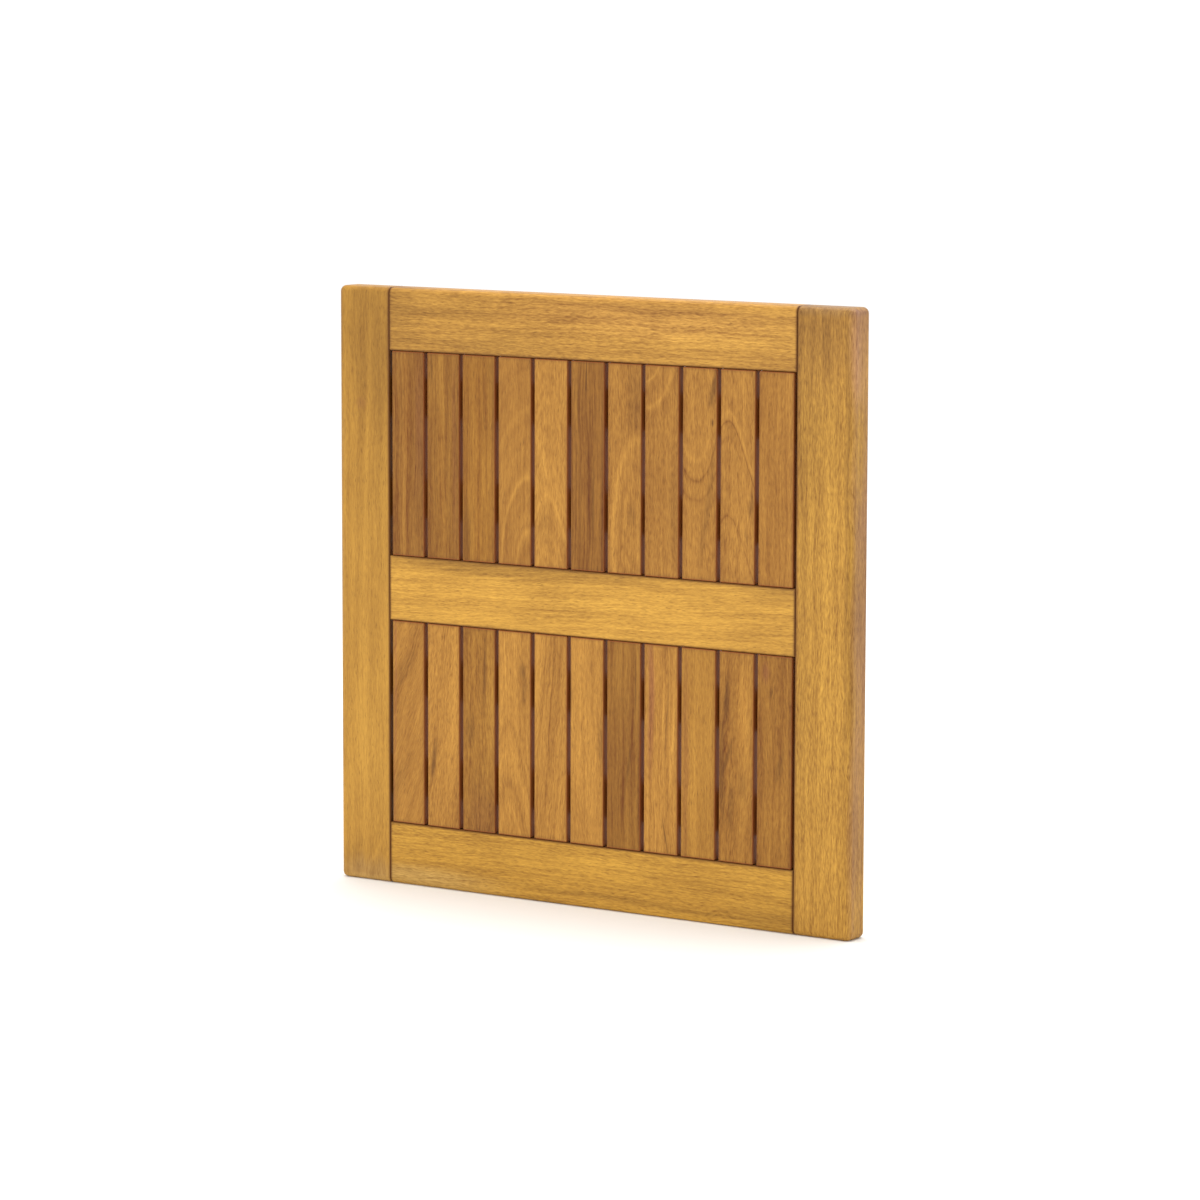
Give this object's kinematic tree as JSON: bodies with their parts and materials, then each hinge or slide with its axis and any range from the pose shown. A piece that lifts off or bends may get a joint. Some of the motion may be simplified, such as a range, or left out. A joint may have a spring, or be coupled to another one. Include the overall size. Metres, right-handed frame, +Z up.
{
  "type": "slatted wooden bath mat",
  "caption": "Square slatted hardwood bath mat, a frame with a middle rail and narrow slats on battens, on rubber feet, standing on its edge.",
  "frame": {"origin": "centre of the mat's outline on the plane it stands on, under its bottom edge, midway between its slatted top side and the faces of its feet", "axes": "+Z up along the slats, +X across the mat to its right side as seen from the slatted side, -Y out of the slatted top side and +Y out of the underside"},
  "size_m": [0.55, 0.0328, 0.55],
  "materials": {
    "frame_wood": "oiled, satin",
    "slat_wood_pale": "oiled, satin",
    "slat_wood_honey": "oiled, satin",
    "slat_wood_brown": "oiled, satin",
    "slat_wood_dark": "oiled, satin",
    "batten_wood": "planed, oiled, matt",
    "dowel_wood": "plain turned beech, matt",
    "foot_rubber": "matt",
    "screw_steel": "bright stainless"
  },
  "bodies": {
    "root": {"left_stile": "frame_wood", "right_stile": "frame_wood", "bottom_rail": "frame_wood", "middle_rail": "frame_wood", "top_rail": "frame_wood", "lower_outer_batten": "batten_wood", "lower_inner_batten": "batten_wood", "upper_inner_batten": "batten_wood", "upper_outer_batten": "batten_wood", "lower_slat_01": "slat_wood_honey", "lower_slat_02": "slat_wood_pale", "lower_slat_03": "slat_wood_brown", "lower_slat_04": "slat_wood_pale", "lower_slat_05": "slat_wood_pale", "lower_slat_06": "slat_wood_pale", "lower_slat_07": "slat_wood_dark", "lower_slat_08": "slat_wood_pale", "lower_slat_09": "slat_wood_pale", "lower_slat_10": "slat_wood_honey", "lower_slat_11": "slat_wood_brown", "upper_slat_01": "slat_wood_dark", "upper_slat_02": "slat_wood_brown", "upper_slat_03": "slat_wood_brown", "upper_slat_04": "slat_wood_honey", "upper_slat_05": "slat_wood_pale", "upper_slat_06": "slat_wood_dark", "upper_slat_07": "slat_wood_honey", "upper_slat_08": "slat_wood_honey", "upper_slat_09": "slat_wood_pale", "upper_slat_10": "slat_wood_pale", "upper_slat_11": "slat_wood_honey", "bottom_left_dowel_lower": "dowel_wood", "bottom_left_dowel_upper": "dowel_wood", "bottom_right_dowel_lower": "dowel_wood", "bottom_right_dowel_upper": "dowel_wood", "middle_left_dowel_lower": "dowel_wood", "middle_left_dowel_upper": "dowel_wood", "middle_right_dowel_lower": "dowel_wood", "middle_right_dowel_upper": "dowel_wood", "top_left_dowel_lower": "dowel_wood", "top_left_dowel_upper": "dowel_wood", "top_right_dowel_lower": "dowel_wood", "top_right_dowel_upper": "dowel_wood", "bottom_left_foot": "foot_rubber", "bottom_right_foot": "foot_rubber", "middle_left_foot": "foot_rubber", "middle_right_foot": "foot_rubber", "top_left_foot": "foot_rubber", "top_right_foot": "foot_rubber", "bottom_left_foot_screw": "screw_steel", "bottom_right_foot_screw": "screw_steel", "middle_left_foot_screw": "screw_steel", "middle_right_foot_screw": "screw_steel", "top_left_foot_screw": "screw_steel", "top_right_foot_screw": "screw_steel"}
  },
  "joints": []
}
